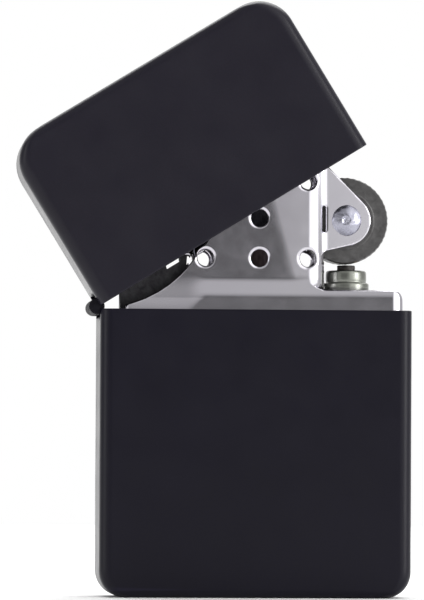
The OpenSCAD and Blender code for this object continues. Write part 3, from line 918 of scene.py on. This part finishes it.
def lumps(x, y, z, phases, size):
    """A slow, even wobble for stuffed forms."""
    total = 0
    for k, (a, b, c) in enumerate(phases):
        f = (1 + 0.55 * k) * TURN / size
        total = total + np.sin(f * x + a) * np.sin(f * y + b) * np.sin(f * z + c) / (1 + 0.6 * k)
    return total


def make_packing():
    rng = np.random.RandomState(5)
    lo, hi = box_mm("cotton_packing")
    count, gap, corner_r = 4, 0.15, 2.6
    pitch = (hi[2] + gap - lo[2]) / count
    for n in range(count):
        z0 = lo[2] + n * pitch
        z1 = z0 + pitch - gap
        phases = rng.uniform(0, TURN, (4, 3))

        def field(x, y, z, z0=z0, z1=z1, phases=phases):
            mid = (z0 + z1) / 2
            qx = np.abs(x - (lo[0] + hi[0]) / 2) - ((hi[0] - lo[0]) / 2 - corner_r)
            qy = np.abs(y) - (hi[1] - corner_r)
            qz = np.abs(z - mid) - ((z1 - z0) / 2 - corner_r)
            out = np.sqrt(np.maximum(qx, 0) ** 2 + np.maximum(qy, 0) ** 2 + np.maximum(qz, 0) ** 2)
            form = out + np.minimum(np.maximum(np.maximum(qx, qy), qz), 0) - corner_r
            form = form + 0.22 + 0.2 * lumps(x, y, z, phases, 7.0) + 0.06 * lumps(x, y, z, phases[::-1], 2.3)
            return soft_max(form, -(length2(x - WICK_X, y) - WICK_R - 0.05), 0.4)

        low_corner, high_corner = (lo[0] - 1, lo[1] - 1, z0 - 1), (hi[0] + 1, hi[1] + 1, z1 + 1)
        obj = field_piece(f"cotton_wad_{n + 1}", field, low_corner, high_corner, 0.42, PACKING_COTTON,
                          1.0, False)
        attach(obj, "case")
        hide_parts("cotton_packing")


def make_felt():
    rng = np.random.RandomState(9)
    lo, hi = box_mm("felt_pad")
    phases = rng.uniform(0, TURN, (4, 3))

    def field(x, y, z):
        plan = soft_rect(x, y, lo[0], hi[0], lo[1], hi[1], 1.2)
        slab = np.abs(z - (lo[2] + hi[2]) / 2) - (hi[2] - lo[2]) / 2
        form = soft_max(plan, slab, 0.9) + 0.07 + 0.06 * lumps(x, y, z, phases, 4.0)
        return soft_max(form, -(length2(x - TUBE_X, y) - 2.5), 0.3)

    obj = field_piece("felt_bottom_pad", field, lo - 1, hi + 1, 0.4, FELT, 1.0, False)
    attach(obj, "case")
    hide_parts("felt_pad")


# ---- CAD nodes that keep their shape ----

KEPT = {
    "case_hinge_leaf": (HINGE_BLACK, 0.08),
    "lid_hinge_leaf": (HINGE_BLACK, 0.08),
    "hinge_pin": (HINGE_BLACK, 0.08),
    "tank_shell": (TANK_STEEL, 0.08),
    "flint_tube": (BRASS, 0.08),
    "flint_pusher": (BRASS, 0.12),
    "flint_screw": (BRASS, 0.12),
    "cam": (CAM_STEEL, 0.18),
    "cam_spring": (SPRING_STEEL, 0.08),
    "cam_spring_rivet": (RIVET_STEEL, 0.12),
    "wick_wire": (COPPER, 0.06),
}


def dress_cad_nodes():
    for name, (material, width) in KEPT.items():
        obj = frame["nodes"][name]
        obj.data.materials.clear()
        obj.data.materials.append(material)
        bevel = obj.modifiers.new("bevel", "BEVEL")
        bevel.width = width * MM
        bevel.segments = 3
        bevel.limit_method = "ANGLE"
        bevel.angle_limit = math.radians(40)
        bevel.harden_normals = True


# ---- stage ----


def make_world():
    """Dim in front of the object, bright at its sides, above and behind; the camera itself sees white."""
    world = bpy.data.worlds.new("studio")
    bpy.context.scene.world = world
    world.use_nodes = True
    tree = world.node_tree
    tree.nodes.clear()

    def node(kind, **sets):
        made = tree.nodes.new(kind)
        for key, v in sets.items():
            setattr(made, key, v)
        return made

    way = node("ShaderNodeTexCoord").outputs["Generated"]
    split = node("ShaderNodeSeparateXYZ")
    tree.links.new(way, split.inputs[0])

    def step_between(value, start, stop, low, high):
        made = node("ShaderNodeMapRange", interpolation_type="SMOOTHSTEP")
        for key, v in (("From Min", start), ("From Max", stop), ("To Min", low), ("To Max", high)):
            made.inputs[key].default_value = v
        tree.links.new(value, made.inputs["Value"])
        return made.outputs["Result"]

    def larger(a, b):
        made = node("ShaderNodeMath", operation="MAXIMUM")
        tree.links.new(a, made.inputs[0])
        tree.links.new(b, made.inputs[1])
        return made.outputs[0]

    def times(a, b):
        made = node("ShaderNodeMath", operation="MULTIPLY")
        tree.links.new(a, made.inputs[0])
        tree.links.new(b, made.inputs[1])
        return made.outputs[0]

    fade = step_between(split.outputs["Y"], -0.35, 0.0, 1.0, 0.35)
    right = times(step_between(split.outputs["X"], 0.1, 0.4, 0.12, 1.7), fade)
    left = times(step_between(split.outputs["X"], -0.4, -0.85, 0.12, 0.9), fade)
    behind = step_between(split.outputs["Y"], 0.5, 0.95, 0.15, 1.3)
    above = step_between(split.outputs["Z"], 0.1, 0.62, 0.12, 0.62)
    # narrow strips at both sides draw the stripes along the painted edges
    strip = times(step_between(split.outputs["X"], 0.68, 0.8, 0, 8),
                  step_between(split.outputs["Y"], -0.4, -0.25, 1, 0))
    small = times(step_between(split.outputs["X"], -0.8, -0.92, 0, 3),
                  step_between(split.outputs["Y"], -0.2, -0.05, 1, 0))
    light = larger(larger(right, left), larger(behind, above))
    light = larger(light, larger(strip, small))
    surroundings = node("ShaderNodeBackground")
    tree.links.new(light, surroundings.inputs["Strength"])
    surroundings.inputs["Color"].default_value = (1, 1, 1, 1)
    backdrop = node("ShaderNodeBackground")
    backdrop.inputs["Color"].default_value = (1, 1, 1, 1)
    backdrop.inputs["Strength"].default_value = 1.0
    path = node("ShaderNodeLightPath")
    mix = node("ShaderNodeMixShader")
    out = node("ShaderNodeOutputWorld")
    tree.links.new(path.outputs["Is Camera Ray"], mix.inputs["Fac"])
    tree.links.new(surroundings.outputs[0], mix.inputs[1])
    tree.links.new(backdrop.outputs[0], mix.inputs[2])
    tree.links.new(mix.outputs[0], out.inputs["Surface"])


def make_floor():
    radius = 800
    rings = [[(math.cos(TURN * k / 96) * r, math.sin(TURN * k / 96) * r, 0) for k in range(96)]
             for r in (1, 60, 200, 450, radius)]
    points, faces = loft(rings, True, False)
    f = Finish("studio_floor", 0, 0.9)
    f.colour(f.ramp(f.noise(30, 3), [(0.3, (0.86, 0.86, 0.86, 1)), (0.7, (0.9, 0.9, 0.9, 1))]))
    f.shader.inputs["Specular IOR Level"].default_value = 0.1
    obj = new_object("studio_floor", points, [g[::-1] for g in faces], f.material)
    bm = bmesh.new()
    bm.from_mesh(obj.data)
    for face in bm.faces:
        if face.normal.z < 0:
            face.normal_flip()
    bm.to_mesh(obj.data)
    bm.free()


def make_light(name, place, target, size, watts):
    data = bpy.data.lights.new(name, "AREA")
    data.shape = "RECTANGLE"
    data.size, data.size_y = size
    data.energy = watts
    obj = bpy.data.objects.new(name, data)
    obj.location = place
    obj.rotation_euler = (Vector(target) - Vector(place)).to_track_quat("-Z", "Y").to_euler()
    bpy.context.collection.objects.link(obj)


def make_camera():
    """At the left, a little below level, rolled slightly."""
    distance_m, lens = 0.65, 321.6
    azimuth, elevation, tilt = math.radians(-4.0), math.radians(-1.8), math.radians(0.3)
    target = Vector((-5.51, case_lo[1], 36.1)) * MM
    back = Vector((math.sin(azimuth) * math.cos(elevation), -math.cos(azimuth) * math.cos(elevation),
                   math.sin(elevation)))
    data = bpy.data.cameras.new("camera")
    data.sensor_width = 36
    data.lens = lens
    data.clip_start, data.clip_end = 0.01, 20
    obj = bpy.data.objects.new("camera", data)
    obj.location = target + back * distance_m
    roll = Matrix.Rotation(tilt, 3, "Z")
    obj.rotation_euler = ((-back).to_track_quat("-Z", "Y").to_matrix() @ roll).to_euler()
    bpy.context.collection.objects.link(obj)
    bpy.context.scene.camera = obj


make_camera()
make_world()
make_floor()
make_light("overhead", (0.05, 0.45, 0.7), (0, 0.3, 0), (0.9, 0.7), 8)

make_case()
make_lid()
make_windscreen()
make_rivets()
make_collar()
make_flint()
make_wheel()
make_wick()
make_spring()
make_packing()
make_felt()
dress_cad_nodes()

bpy.context.scene.view_settings.view_transform = "Standard"
bpy.context.scene.view_settings.look = "None"
